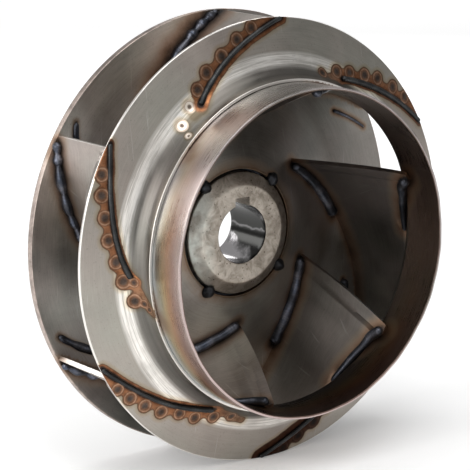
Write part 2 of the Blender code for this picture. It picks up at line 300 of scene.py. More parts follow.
def steel(name, pale, dark, roughness, blotch=30, streak=0.35, bump=0.12, reach=13.0, tint=None):
    """Bare steel with mill blotches, fine grain, pits, scratches and the colours that welding leaves.
    tint(place, colour) may add more colours."""
    made, place = new_finish(name)
    broad = ramp(cloud(place, blotch, 6, 0.6, 0.3), [(0.34, 0.0), (0.66, 1.0)])
    fine = cloud(stored(place, "grain", "Vector"), 1.0, 3, 0.7)
    speck = cloud(place, 900, 2, 0.6)
    lines = ramp(fine, [(0.35, 0.0), (0.68, 1.0)])
    share = plus(times(lines, streak), times(broad, 1 - streak))
    colour = mixed(share, dark, pale)
    # Some of the skin is greener and some of it rosier
    patches = cloud(place, blotch * 0.55, 3, 0.5)
    colour = shaded(colour, ramp(patches, [(0.36, (0.97, 1.0, 0.985)), (0.64, (1.04, 0.98, 0.985))]))
    colour = shaded(colour, ramp(speck, [(0.27, 0.78), (0.38, 1.0)]))
    drawn = node("Mapping", {0: place, "Rotation": (0.4, 0.9, 0.3), "Scale": (900, 26, 26)}).outputs[0]
    scratch = ramp(cloud(drawn, 1.0, 2, 0.5), [(0.68, 0.0), (0.74, 1.0)])
    colour = mixed(times(scratch, 0.35), colour, SCRATCH_BRIGHT)
    if tint:
        colour = tint(place, colour)
    colour, cover = scorched(place, colour, reach)
    uneven = plus(about_nought(broad, 0.10), about_nought(lines, 0.08))
    rough = plus(uneven, plus(times(cover, 0.08), roughness))
    height = plus(times(fine, 0.6), times(speck, 0.4))
    height = minus(height, times(scratch, 0.25))
    return metal(made, colour, rough, height, bump, 0.0004)


def waves(turn, table):
    """The sum of sine waves round a ring, from a table of sizes, counts round the ring and phases."""
    return sum(size * np.sin(count * turn + phase) for size, count, phase in table)


def cockled(radius, y, turn):
    """The slight cockle of a welded sheet, growing towards the rim."""
    return 0.0, (radius / OUTER_RADIUS) ** 3 * waves(turn, COCKLE)


def plate_light_and_marks(place, colour):
    """Painted light and shade on the plate's sides, painted shade of the gap round the hub's hole, and the
    pinkish cleaned rim.
    """
    radius = radius_of(place)
    # Painted light and shade: the plate made paler and darker by its turn round the axis
    colour = shaded(colour, stored(place, "painted_side_light"))
    # Painted shade of the gap round the hub's hole: a ragged black ring on the plate at the hole's edge
    hole = times(minus(radius, PLATE_HOLE), 100.0)
    ragged = plus(hole, about_nought(cloud(place, 90, 3), 0.25))
    colour = mixed(ramp(ragged, [(0.10, 1.0), (0.20, 0.35), (0.42, 0.0)]), colour, HOLE_GAP_SHADE)
    edge = calc("GREATER_THAN", radius, OUTER_RADIUS - CLEANED_BAND)
    grime = ramp(cloud(place, 120, 5, 0.7), [(0.38, 0.55), (0.60, 1.0)])
    return mixed(edge, colour, shaded(RIM_PINK, grime))


outline = plate_line(0) + plate_line(PLATE_THICKNESS)[::-1]
plate = spun("back_plate_dished", stepped(eased(outline, PLATE_EDGE), PLATE_STEP), PLATE_TURNS, cockled)
x, _, z = points_of(plate).T
turn = np.degrees(np.arctan2(z, x)) % 360
margin = np.clip((np.hypot(x, z) - PAINTED_LIGHT_START) / PAINTED_LIGHT_WIDTH, 0, 1)
inner_painted, outer_painted = (np.interp(turn, *zip(*by_turn)) for by_turn in (INNER_PAINTED_LIGHT, OUTER_PAINTED_LIGHT))
# Painted light and shade for each vertex, by its turn and its radius
store(plate, "painted_side_light", inner_painted * (1 - margin) + outer_painted * margin)
dished_steel = steel("mill_sheet_plate", MILL_PALE, MILL_DARK, 0.42, reach=10.0, tint=plate_light_and_marks)
plate.data.materials.append(dished_steel)
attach(plate, "root")
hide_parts("back_plate")

# Hub
# The boss that sits on the pump shaft, turned from solid bar with a coned nose. The bore is reamed and honed
# bright, a keyway is cut along its top, and small pits show where the lathe left the skin of the bar.
HUB_RADIUS = 0.0421
HUB_NOSE_RADIUS = 0.0336
HUB_NOSE = -0.0400
HUB_SHOULDER = -0.0348
BORE_RADIUS = 0.0200
KEYWAY_WIDTH = 0.0120
KEYWAY_TOP = 0.0253
HUB_EDGE = 0.0009
HUB_STEP = 0.004
HUB_TURNS = 288
TURNED_PALE = (0.54, 0.485, 0.42)
TURNED_DARK = (0.30, 0.26, 0.215)
PIT_BROWN = (0.30, 0.27, 0.24)
PAINTED_GREEN_HIGHLIGHT = (0.80, 0.84, 0.78)
BORE_PAINTED_SHADE = (0.040, 0.040, 0.038)
BORE_PAINTED_REFLECTION = (0.62, 0.60, 0.61)


def turned_steel():
    """Turned steel: rings left by the lathe, pits and stains, darker on the coned nose, and a painted
    greenish highlight on its left side."""
    made, place = new_finish("turned_hub")
    x, y, _ = axes_of(place)
    stain = ramp(cloud(place, 110, 7, 0.7, 0.8), [(0.38, 0.0), (0.60, 1.0)])
    colour = mixed(stain, TURNED_DARK, TURNED_PALE)
    holes = node("TexVoronoi", {"Vector": place, "Scale": 330.0, "Randomness": 1.0}).outputs["Distance"]
    rare = ramp(cloud(place, 120, 3, 0.6), [(0.46, 1.0), (0.54, 0.0)])
    pit = calc("MAXIMUM", ramp(holes, [(0.10, 0.0), (0.24, 1.0)]), rare)
    colour = shaded(colour, mixed(pit, PIT_BROWN, (1.0, 1.0, 1.0)))
    behind_nose = times(minus(y, HUB_NOSE + 0.0004), 1000.0)
    colour = shaded(colour, ramp(behind_nose, [(0.0, 1.0), (0.25, 0.94), (1.0, 0.80)]))
    # Painted highlight: the coned nose greener and paler on its left side
    leftward = ramp(times(x, -20.0), [(0.45, 0.0), (0.72, 1.0)])
    painted_shine = times(leftward, ramp(cloud(place, 55, 3), [(0.42, 0.2), (0.55, 1.0)]))
    colour = mixed(times(painted_shine, 0.8), colour, PAINTED_GREEN_HIGHLIGHT)
    rings = cloud(stored(place, "grain", "Vector"), 1.0, 2, 0.6)
    height = plus(times(rings, 0.35), times(pit, 0.9))
    return metal(made, colour, ramp(stain, [(0.0, 0.50), (1.0, 0.40)]), height, 0.35, 0.0003)


def honed_steel():
    """The bore's honed wall: painted nearly black as painted shade, with painted bright reflections along its
    bottom and in one streak.
    """
    made, place = new_finish("honed_bore")
    _, y, z = axes_of(place)
    down = times(z, -1 / BORE_RADIUS)
    deep = times(plus(y, 0.02), 14.0)
    wander = about_nought(cloud(place, 70, 4, 0.6, 0.6), 1.0)
    # Painted reflections: brighter towards the bottom and the back of the bore, and one painted streak
    painted_reflection = ramp(plus(plus(down, deep), wander), [(0.55, 0.0), (0.85, 1.0)])
    streak = ramp(plus(down, times(wander, 0.4)), [(0.0, 0.0), (0.05, 1.0), (0.12, 0.0)])
    colour = mixed(calc("MAXIMUM", painted_reflection, times(streak, 0.25)), BORE_PAINTED_SHADE, BORE_PAINTED_REFLECTION)
    rings = cloud(node("Mapping", {0: place, "Scale": (60, 2600, 60)}).outputs[0], 1.0, 2, 0.5)
    return metal(made, colour, ramp(rings, [(0.3, 0.13), (0.7, 0.20)]), rings, 0.05, 0.0001)


outline = [(HUB_NOSE_RADIUS, HUB_NOSE), (HUB_RADIUS, HUB_SHOULDER), (HUB_RADIUS, 0.0), (BORE_RADIUS, 0.0),
           (BORE_RADIUS, HUB_NOSE)]
hub = spun("hub_turned", stepped(eased(outline, HUB_EDGE, 20), HUB_STEP), HUB_TURNS)
slot_low = BORE_RADIUS / 2
bpy.ops.mesh.primitive_cube_add(size=1, location=(0, HUB_NOSE / 2, (KEYWAY_TOP + slot_low) / 2))
keyway = bpy.context.object
keyway.scale = (KEYWAY_WIDTH, 2 * abs(HUB_NOSE), KEYWAY_TOP - slot_low)
bpy.context.view_layer.update()
cut = hub.modifiers.new("keyway", "BOOLEAN")
cut.object = keyway
bpy.context.view_layer.update()
milled = bpy.data.meshes.new_from_object(hub.evaluated_get(bpy.context.evaluated_depsgraph_get()))
hub.modifiers.clear()
hub.data = milled
bpy.data.objects.remove(keyway)
milled.set_sharp_from_angle(angle=math.radians(30))
milled.materials.clear()
milled.materials.append(turned_steel())
milled.materials.append(honed_steel())
for face in milled.polygons:
    out = math.hypot(face.center.x, face.center.z)
    inward = face.normal.x * face.center.x + face.normal.z * face.center.z < 0
    face.material_index = int(inward and out < BORE_RADIUS + 0.0002)
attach(hub, "root")
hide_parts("hub")

# Front shroud
# The front wall: 2 mm sheet spun to a shallow cone, then flared in a quarter round to a short neck. Spinning
# leaves fine rings, the flare carries a painted highlight band with painted shade in the groove by the neck,
# and the cut rim is a thin bright line.
SHROUD_THICKNESS = 0.002
SHROUD_RIM = -0.0680
SHROUD_SLOPE = math.radians(14.6)
NECK_RADIUS = 0.11185
NECK_LIP = -0.0901
FLARE_RADIUS = 0.015
SHROUD_EDGE = 0.0004
SHROUD_STEP = 0.0012
SHROUD_TURNS = 720
LIP_BAND = 0.0006
CUT_BAND = 0.0005
CONE_PALE = (0.42, 0.39, 0.35)
CONE_DARK = (0.30, 0.28, 0.25)
FLARE_PAINTED_HIGHLIGHT = (0.96, 0.93, 0.88)
CUT_BRIGHT = (0.80, 0.77, 0.73)
RUST_BRIGHT = (0.52, 0.23, 0.10)
BURNT_OUTLINE = (0.095, 0.056, 0.038)


def shroud_line(depth):
    """Section of the shroud's outer face moved into the sheet by depth, from the rim to the neck's lip."""
    slope = math.tan(SHROUD_SLOPE)
    centre_r = NECK_RADIUS + FLARE_RADIUS
    line_y = SHROUD_RIM - slope * (OUTER_RADIUS - centre_r)
    centre = (centre_r, line_y - FLARE_RADIUS / math.cos(SHROUD_SLOPE))
    flare = arc(centre, FLARE_RADIUS + depth, 90 + math.degrees(SHROUD_SLOPE), 180, 18)
    rim = (OUTER_RADIUS, flare[0][1] + slope * (OUTER_RADIUS - flare[0][0]))
    return [rim] + flare + [(NECK_RADIUS - depth, NECK_LIP)]


def painted_flare_light(place, colour):
    """A painted highlight band on the flare, broken into uneven rings, painted shade in the groove by the
    neck, and the bright cut edges.
    """
    radius = radius_of(place)
    across = times(minus(radius, NECK_RADIUS), 1 / (OUTER_RADIUS - NECK_RADIUS))
    # Painted highlight: a bright band across the flare, broken by noise and by the spinning rings
    band = ramp(across, [(0.0, 0.1), (0.13, 0.15), (0.22, 1.0), (0.36, 1.0), (0.44, 0.0)])
    patchy = ramp(cloud(place, 38, 4, 0.6), [(0.32, 0.6), (0.58, 1.0)])
    rings = cloud(stored(place, "grain", "Vector"), 0.55, 3, 0.75)
    bright = times(times(band, patchy), ramp(rings, [(0.38, 0.35), (0.56, 1.0)]))
    colour = mixed(bright, colour, FLARE_PAINTED_HIGHLIGHT)
    # Painted shade in the groove by the neck
    colour = shaded(colour, ramp(across, [(0.0, 0.5), (0.05, 0.30), (0.13, 0.36), (0.22, 1.0)]))
    lip = calc("LESS_THAN", axes_of(place)[1], NECK_LIP + LIP_BAND)
    rim = calc("GREATER_THAN", radius, OUTER_RADIUS - CUT_BAND)
    return mixed(calc("MAXIMUM", lip, rim), colour, CUT_BRIGHT)


def torch_marks(place, colour):
    """The burnt patch along a seam: spot welds with a dark centre and a pale ring, orange brown between them,
    a thin dark outline round it all, and a straw halo outside."""
    colour = painted_flare_light(place, colour)
    # Distances to a mark, to the patch's edge and to the seam, each with its own scale on the ramps
    mark = times(shaken(place, stored(place, "spot"), 0.4, 0.6), 0.1)
    edge = shaken(place, stored(place, "edge"), 0.4, 0.9)
    seam = times(shaken(place, stored(place, "seam"), 0.5, 0.8), 0.05)
    halo = ramp(times(edge, 0.1), [
        (0.0, (0.74, 0.64, 0.50)), (0.10, (0.92, 0.85, 0.73)), (0.32, (1.0, 1.0, 1.0))])
    colour = shaded(colour, halo)
    burnt = ramp(seam, [
        (0.07, (0.030, 0.025, 0.024)), (0.10, (0.075, 0.042, 0.030)), (0.135, (0.19, 0.088, 0.048)),
        (0.20, (0.28, 0.130, 0.068)), (0.40, (0.28, 0.150, 0.088)), (0.80, (0.27, 0.170, 0.110))])
    bite = ramp(cloud(place, 240, 4, 0.6), [(0.36, (0.62, 0.55, 0.50)), (0.60, (1.08, 1.04, 1.0))])
    burnt = shaded(burnt, bite)
    # Rust-bright patches where the run stopped
    from_neck = times(minus(radius_of(place), NECK_RADIUS), 50.0)
    stopped = ramp(from_neck, [(0.25, 1.0), (0.85, 0.12)])
    flaky = ramp(cloud(place, 170, 5, 0.65), [(0.46, 0.0), (0.58, 1.0)])
    beside = ramp(seam, [(0.10, 0.0), (0.16, 0.8), (0.35, 0.0)])
    burnt = mixed(times(times(stopped, flaky), beside), burnt, RUST_BRIGHT)
    rings = ramp(mark, [
        (0.08, (0.060, 0.056, 0.056)), (0.19, (0.10, 0.082, 0.072)), (0.27, (0.17, 0.10, 0.068)),
        (0.35, (0.24, 0.13, 0.082)), (0.40, (0.41, 0.27, 0.19)), (0.44, (0.36, 0.225, 0.15)),
        (0.48, (0.19, 0.10, 0.062)), (0.53, (0.14, 0.078, 0.050))])
    inside = ramp(mark, [(0.49, 0.92), (0.56, 0.0)])
    patch = mixed(inside, burnt, shaded(rings, bite))
    patch = mixed(stored(place, "scorch"), patch, shaded(patch, (0.16, 0.13, 0.12)))
    across_edge = plus(times(edge, 0.2), 0.5)
    patch = mixed(ramp(across_edge, [(0.47, 1.0), (0.55, 0.0)]), colour, patch)
    outlined = ramp(across_edge, [(0.38, 0.0), (0.44, 0.7), (0.51, 0.7), (0.58, 0.0)])
    patch = mixed(outlined, patch, BURNT_OUTLINE)
    # The bare marks were pressed after the torch had gone: a cream disc, a black dot, a thin ring
    bare = ramp(mark, [
        (0.07, (0.07, 0.06, 0.055)), (0.15, (0.20, 0.15, 0.12)), (0.21, (0.72, 0.64, 0.56)),
        (0.35, (0.80, 0.74, 0.66)), (0.40, (0.42, 0.31, 0.23)), (0.46, (0.62, 0.52, 0.43))])
    bare = mixed(ramp(mark, [(0.42, 0.9), (0.56, 0.0)]), colour, bare)
    return mixed(stored(place, "bare"), patch, bare)


outline = shroud_line(0) + shroud_line(SHROUD_THICKNESS)[::-1]
shroud = spun("front_shroud_spun", stepped(eased(outline, SHROUD_EDGE), SHROUD_STEP), SHROUD_TURNS, cockled)
spun_steel = steel("spun_sheet", CONE_PALE, CONE_DARK, 0.36, blotch=24, bump=0.10, tint=torch_marks)
shroud.data.materials.append(spun_steel)
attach(shroud, "root")
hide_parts("front_shroud")

# Inlet collar
# A short ring of 2 mm wall, slipped into the shroud's neck and welded to it from inside. The weld's heat ran
# through it, so blue, straw, orange and mauve bands lie round it, and its front edge is filed bright.
COLLAR_RADIUS = 0.10975
COLLAR_WALL = 0.002
COLLAR_FRONT = -0.1191
COLLAR_BACK = -0.0868
COLLAR_EDGE = 0.0004
COLLAR_STEP = 0.0016
COLLAR_TURNS = 480
FILED_DEPTH = 0.004
COLLAR_PALE = (0.56, 0.52, 0.51)
COLLAR_DARK = (0.33, 0.305, 0.285)
COLLAR_INSIDE_FILM_AND_SHADE = (0.34, 0.285, 0.25)
# The ring's small ovalness and its unevenly filed front edge, as waves like the cockle's
OVAL = ((0.0002, 2, 0.5), (0.0001, 5, 0))
FILED = ((0.00022, 7, 1.0), (0.00016, 17, 0), (0.00010, 41, 2))


def filed_ring(radius, y, turn):
    """The collar's ovalness everywhere, and the filing at its front edge."""
    front = np.clip((COLLAR_FRONT + FILED_DEPTH - y) / FILED_DEPTH, 0, 1)
    return waves(turn, OVAL), front * waves(turn, FILED)


def banded(place, colour):
    """Temper colours in rings round the collar, strongest on its left and lower sides."""
    x, y, z = axes_of(place)
    along = times(minus(y, COLLAR_FRONT), 1 / (NECK_LIP - COLLAR_FRONT))
    along = plus(along, about_nought(cloud(place, 26, 3, 0.5), 0.35))
    bands = ramp(along, [
        (0.05, (0.52, 0.41, 0.39)), (0.28, (0.40, 0.255, 0.22)), (0.50, (0.50, 0.29, 0.17)),
        (0.68, (0.50, 0.38, 0.22)), (0.82, (0.36, 0.34, 0.26)), (0.97, (0.30, 0.32, 0.33))])
    side = plus(times(x, -5.0), times(z, -9.0))
    patch = about_nought(cloud(place, 20, 4, 0.6), 1.6)
    strength = plus(plus(side, patch), 0.35, clamp=True)
    colour = mixed(times(strength, 0.9), colour, bands)
    # Inside, a dull reddish brown film, darkened further as painted shade
    within = calc("LESS_THAN", radius_of(place), COLLAR_RADIUS - COLLAR_WALL * 0.6)
    return mixed(within, colour, shaded(colour, COLLAR_INSIDE_FILM_AND_SHADE))


wall = (COLLAR_RADIUS, COLLAR_RADIUS - COLLAR_WALL)
outline = [(wall[0], COLLAR_FRONT), (wall[0], COLLAR_BACK), (wall[1], COLLAR_BACK), (wall[1], COLLAR_FRONT)]
outline = stepped(eased(outline, COLLAR_EDGE), COLLAR_STEP)
collar = spun("inlet_collar_ring", outline, COLLAR_TURNS, filed_ring)
tempered = steel("collar_sheet", COLLAR_PALE, COLLAR_DARK, 0.30, blotch=20, streak=0.6, bump=0.16,
                 tint=banded)
collar.data.materials.append(tempered)
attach(collar, "root")
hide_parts("inlet_collar")

# Blades
# Six swept vanes of 3 mm sheet. Each follows one arc on the plate and a flatter one under the shroud, and its
# front margin is bent over as a flange, through which the shroud is spot welded.
BLADES = 6
BLADE_THICKNESS = 0.003
HALF_BLADE = BLADE_THICKNESS / 2
ROOT = cmath.rect(0.069, math.radians(338))
TIP_CORNER = cmath.rect(0.1055, math.radians(321.6))
TIP_CORNER_Y = -0.0945
OUTLET = cmath.rect(0.1485, math.radians(268.6))
PLATE_PATH_BEND = 0.131
SHROUD_PATH_BEND = 0.160
FLANGE_WIDTH = 0.014
FLANGE_START = 0.34
FLANGE_TAPER = 0.12
FLANGE_BEND = 0.004
FLANGE_BACK_FROM_RIM = 0.0004
INLET_BOW = 0.0022
FIT = 0.0003
BLADE_STEPS = 96
WEB_ROWS = 34
BEND_ROWS = 6
RIPPLE = 0.00025
EASED_EDGE = 0.0003
BLADE_PALE = (0.41, 0.375, 0.345)
BLADE_DARK = (0.235, 0.215, 0.195)
# One blade was cut a little long, and each has its own painted light and shade near the inlet, all painted
# brighter towards the outlet
LONGER = {1: 1.018}
PAINTED_BLADE_LIGHT = (0.5, 0.42, 0.38, 0.6, 0.6, 1.5)


def swept(start, end, bend):
    """The arc of radius bend from start to end, hollow towards the axis, as a function of a share from 0 to
    1. A point seen along the axis is the complex number x + iz."""
    middle, chord = (start + end) / 2, end - start
    across = 1j * chord / abs(chord)
    if (across * middle.conjugate()).real > 0:
        across = -across
    centre = middle + across * math.sqrt(bend**2 - abs(chord) ** 2 / 4)
    turn = cmath.phase((end - centre) / (start - centre))
    return lambda share: centre + (start - centre) * np.exp(1j * turn * np.asarray(share))


plate_path = swept(ROOT, OUTLET, PLATE_PATH_BEND)
shroud_path = swept(TIP_CORNER, OUTLET, SHROUD_PATH_BEND)


def level(line, radius):
    """The y of a section line at these radii."""
    line = sorted(line)
    return np.interp(radius, [p[0] for p in line], [p[1] for p in line])


def in_space(plan, y):
    return np.stack([plan.real, np.broadcast_to(y, plan.shape), plan.imag], -1)


def unit(vectors):
    return vectors / np.linalg.norm(vectors, axis=-1, keepdims=True)


def outward(plan):
    """At each point of a path, the direction square to it that points away from the axis."""
    along = np.gradient(plan)
    out = -1j * along / abs(along)
    return out * np.sign((out * plan.conj()).real)


def plate_face(plan):
    """Points on the plate's front face."""
    return in_space(plan, level(plate_line(PLATE_THICKNESS), abs(plan)))


def shroud_underside(plan, depth):
    """Points under the shroud, this far below its inner face. Inside the collar the blade reaches forward."""
    y = np.maximum(level(shroud_line(SHROUD_THICKNESS), abs(plan)), COLLAR_BACK + FIT) + depth
    return in_space(plan, np.where(abs(plan) < COLLAR_RADIUS - COLLAR_WALL - FIT, TIP_CORNER_Y, y))


def blade_middle(end):
    """The blade's middle surface as a grid: from the inlet edge to the outlet, and from plate to flange."""
    share = np.linspace(0, end, BLADE_STEPS + 1)
    head_plan = shroud_path(share)
    foot, head = plate_face(plate_path(share)), shroud_underside(head_plan, FIT)
    out = outward(head_plan)
    lean = (out * head_plan.conj()).real
    rim = OUTER_RADIUS - FLANGE_BACK_FROM_RIM
    width = np.minimum(FLANGE_WIDTH, -lean + np.sqrt(lean**2 + rim**2 - abs(head_plan) ** 2))
    bent = np.clip((share - FLANGE_START) / FLANGE_TAPER, 0, 1) * np.clip((width - 0.002) / 0.003, 0, 1)
    bent = (bent * bent * (3 - 2 * bent))[:, None]
    corner = shroud_underside(head_plan, HALF_BLADE + FIT)
    edge = shroud_underside(head_plan + out * width, HALF_BLADE + FIT)
    cut = np.minimum(FLANGE_BEND, width * 0.6)[:, None]
    low, high = corner + unit(foot - corner) * cut, corner + unit(edge - corner) * cut
    rows = [foot + (low - foot) * t for t in np.linspace(0, 1, WEB_ROWS, endpoint=False)]
    for t in np.linspace(0, 1, BEND_ROWS):
        rows.append((low * (1 - t) + corner * t) * (1 - t) + (corner * (1 - t) + high * t) * t)
    rows += [high + (edge - high) * t for t in (0.25, 0.5, 0.75, 1)]
    up = np.linspace(0, 1, len(rows))
    straight = [foot + (head - foot) * t for t in up]
    grid = np.stack([s + (r - s) * bent for s, r in zip(straight, rows)], 1)
    # The inlet edge stands a little proud of the straight line from plate to collar
    bow = INLET_BOW * 4 * up * (1 - up)
    return grid - unit(np.gradient(grid, axis=0)) * (bow[None, :] * ((1 - share) ** 6)[:, None])[..., None]


def thick(name, middle, thickness):
    """A closed sheet of even thickness round a grid of points."""
    rows, columns = middle.shape[:2]
    half = unit(np.cross(np.gradient(middle, axis=0), np.gradient(middle, axis=1))) * thickness / 2
    points = np.concatenate([(middle + half).reshape(-1, 3), (middle - half).reshape(-1, 3)])
    face = grid_faces(rows, columns, False, False)
    there = rows * columns
    ring = [i * columns for i in range(rows)] + [(rows - 1) * columns + j for j in range(1, columns)]
    ring += [i * columns + columns - 1 for i in range(rows - 2, -1, -1)] + list(range(columns - 2, 0, -1))
    edges = [(a, b, b + there, a + there) for a, b in zip(ring, ring[1:] + ring[:1])]
    return solid(name, points, [*face.tolist(), *(face[:, ::-1] + there).tolist(), *edges])


def about_axis(points, number):
    """Points turned round the shaft to blade number 0 to 5."""
    plan = (points[..., 0] + 1j * points[..., 2]) * cmath.exp(2j * math.pi * number / BLADES)
    return np.stack([plan.real, points[..., 1], plan.imag], -1)


def painted_light_and_cut_edge(place, colour):
    """Painted light and shade on the sheet, and the bright cut edge at the outlet."""
    colour = shaded(colour, stored(place, "painted_depth_light"))
    edge = ramp(plus(stored(place, "outlet"), 1.0), [(0.55, 0.0), (0.75, 1.0)])
    worn = ramp(cloud(place, 260, 4, 0.6), [(0.35, 0.55), (0.55, 1.0)])
    return mixed(times(edge, worn), colour, CUT_BRIGHT)


blade_steel = steel("mill_sheet_blade", BLADE_PALE, BLADE_DARK, 0.42, blotch=26, tint=painted_light_and_cut_edge)
blades = []
for number in range(BLADES):
    middle = blade_middle(LONGER.get(number, 1.0))
    rows, columns = middle.shape[:2]
    ripple = RIPPLE * np.sin(np.linspace(0, 5, rows) + number)[:, None] * np.linspace(0, 1, columns)
    middle[..., 2] += ripple
    blade = thick(f"blade_{number + 1}_bent", about_axis(middle, number), BLADE_THICKNESS)
    length, height = np.meshgrid(np.linspace(0, 5, rows), np.linspace(0, 60, columns), indexing="ij")
    grain = np.stack([length, height, np.full_like(length, 10.0 * number)], -1).reshape(-1, 3)
    store(blade, "grain", np.concatenate([grain, grain + 30]))
    # Millimetres from the outlet edge, less than nought further in
    outlet = np.tile(np.repeat((np.linspace(0, 1, rows) - 1) * 1000 * abs(OUTLET - ROOT), columns), 2)
    store(blade, "outlet", outlet)
    # Painted light and shade: darker deep inside near the inlet, brighter towards the outlet
    store(blade, "painted_depth_light", np.interp(outlet, (-80, -20), (PAINTED_BLADE_LIGHT[number], 1.3)))
    ease = blade.modifiers.new("eased edges", "BEVEL")
    ease.width = EASED_EDGE
    ease.segments = 2
    ease.angle_limit = math.radians(50)
    blade.data.materials.append(blade_steel)
    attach(blade, "root")
    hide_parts(f"blade_{number + 1}")
    blades.append(blade)

# Fillet beads inside
# Runs of weld in the corners that the blades make with the plate and with the shroud. The metal froze smooth
# under a blue-black glassy scale, swells where the torch paused, and was laid in lumps along the outlet.
FILLET = 0.0027
ROOT_BEAD = 0.0038
INLET_BEAD = 0.0032
OUTLET_BEAD = 0.0033
ROOT_BEAD_END = 0.105
INLET_BEAD_END = 0.121
OUTLET_BEAD_START = 0.108
OUTLET_BEAD_END = 0.1465
RIPPLE_PITCH = 0.0021
BEAD_STEP = 0.00045
BEAD_SIDES = 16
STITCH_OFFSET = 0.0122
LUMP_PITCH = 0.0120
SCALE_DARK = (0.028, 0.030, 0.036)
SCALE_CREST_HIGHLIGHT = (0.21, 0.21, 0.24)
SCALE_BLUE = (0.085, 0.10, 0.14)
# How far the heat of these runs spread over the sheet, against the others
LINE_HEAT = {"stitch": 0.45, ("outlet", 3): 1.9}
# One stitch is hardly more than a stain
SMALL_STITCH = {2: 0.4}


def weld_metal(name, dark, grey, blue, roughness):
    """Weld metal under its scale: near black, with painted grey highlights on its crests and bluish patches.
    """
    made, place = new_finish(name)
    patch = ramp(cloud(place, 130, 4, 0.6), [(0.38, 0.0), (0.60, 1.0)])
    shade = ramp(cloud(place, 75, 3, 0.5), [(0.40, 0.15), (0.62, 1.0)])
    grit = cloud(place, 1100, 3, 0.6)
    # Painted highlight: the bead's crests lighter grey
    painted_crest = ramp(stored(place, "painted_crest"), [(0.30, 0.0), (1.0, 1.0)])
    share = times(times(painted_crest, shade), ramp(grit, [(0.3, 0.6), (0.6, 1.0)]))
    colour = mixed(share, dark, mixed(patch, grey, blue))
    rough = ramp(patch, [(0.0, roughness + 0.10), (1.0, roughness - 0.06)])
    return metal(made, colour, rough, grit, 0.25, 0.0003, metallic=0.9)


def even_steps(points, step):
    """The same line with points at even distances, and how far along it each one is."""
    run = np.concatenate([[0], np.cumsum(np.linalg.norm(np.diff(points, axis=0), axis=1))])
    places = np.linspace(0, run[-1], max(4, round(run[-1] / step)))
    return np.stack([np.interp(places, run, points[:, k]) for k in range(3)], -1), places


def swelling(run, seed, amount, length):
    """Sizes along a bead that was laid in one go, by a hand that slowed and hurried."""
    return 1 + amount * 1.6 * np.array([noise.noise(Vector((s / length, seed * 3.7, 0))) for s in run])


def lumpy(run, seed):
    """Sizes along a chain of separate lumps, each laid in one touch of the torch."""
    chance = random.Random(seed)
    starts = [-0.3 * LUMP_PITCH]
    while starts[-1] < run[-1]:
        starts.append(starts[-1] + LUMP_PITCH * chance.uniform(0.6, 1.7))
    starts = np.array(starts)
    lump = np.clip(np.searchsorted(starts, run, side="right") - 1, 0, len(starts) - 2)
    phase = (run - starts[lump]) / (starts[lump + 1] - starts[lump])
    heights = np.array([chance.uniform(0.25, 0.62) for _ in starts])
    return 0.62 + heights[lump] * np.sin(math.pi * np.clip(phase, 0, 1) ** chance.uniform(0.8, 1.25)) ** 1.4


def bead(name, line, up, size, finish, seed, amount=0.14, length=0.007, ripple=0.03, grow=(1.0, 1.0),
         lumps=False):
    """A run of weld along a line. size is its half width and its height, up points away from the joint, and
    grow scales its two ends."""
    line, run = even_steps(line, BEAD_STEP)
    tangent = unit(np.gradient(line, axis=0))
    up = np.asarray(up, float)
    if up.ndim == 2:
        there, here = np.linspace(0, 1, len(line)), np.linspace(0, 1, len(up))
        up = np.stack([np.interp(there, here, up[:, k]) for k in range(3)], -1)
    up = unit(up - tangent * (up * tangent).sum(-1, keepdims=True))
    side = np.cross(tangent, up)
    turn = 2 * math.pi * np.arange(BEAD_SIDES) / BEAD_SIDES
    ends = np.minimum(run, run[-1] - run) / size[0]
    cap = np.sqrt(np.clip(1 - (1 - np.clip(ends, 0.02, 1)) ** 2, 0, 1))
    swell = lumpy(run, seed) if lumps else swelling(run, seed, amount, length)
    scale = np.interp(run / run[-1], [0, 1], grow) * cap * swell
    phase = (run[:, None] / RIPPLE_PITCH + 0.35 * np.cos(turn) + 0.2 * np.sin(run / 0.004)[:, None]) % 1.0
    scallop = 1 - ripple * phase**1.6
    lean = 0.10 * np.array([noise.noise(Vector((s / 0.009, seed * 5.1, 4))) for s in run]) * size[0]
    reach = scale[:, None] * scallop
    points = line[:, None] + side[:, None] * (reach * np.sin(turn) * size[0] + lean[:, None])[..., None]
    points = points + up[:, None] * (reach * np.cos(turn) * size[1])[..., None]
    faces = grid_faces(len(line), BEAD_SIDES, False, True).tolist()
    last = (len(line) - 1) * BEAD_SIDES
    faces += [list(range(BEAD_SIDES))[::-1], list(range(last, last + BEAD_SIDES))]
    made = solid(name, points.reshape(-1, 3), faces)
    # Where the painted highlight falls: the bead's crest and its ripples
    painted_crest = (0.5 + 0.5 * np.cos(turn)) * (0.75 + 0.25 * (scallop - 1 + ripple) / ripple)
    store(made, "painted_crest", painted_crest.ravel())
    made.data.materials.append(finish)
    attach(made, "root")
    return made


def beside_blade(shares, aside, clear):
    """Points beside the blade's foot, aside from its middle and clear of the plate, with the direction that
    points out of the corner."""
    plan = plate_path(shares)
    out, forward = outward(plan), np.array([0, -1.0, 0])
    return plate_face(plan + out * aside) + forward * clear, in_space(out * np.sign(aside), 0) + forward


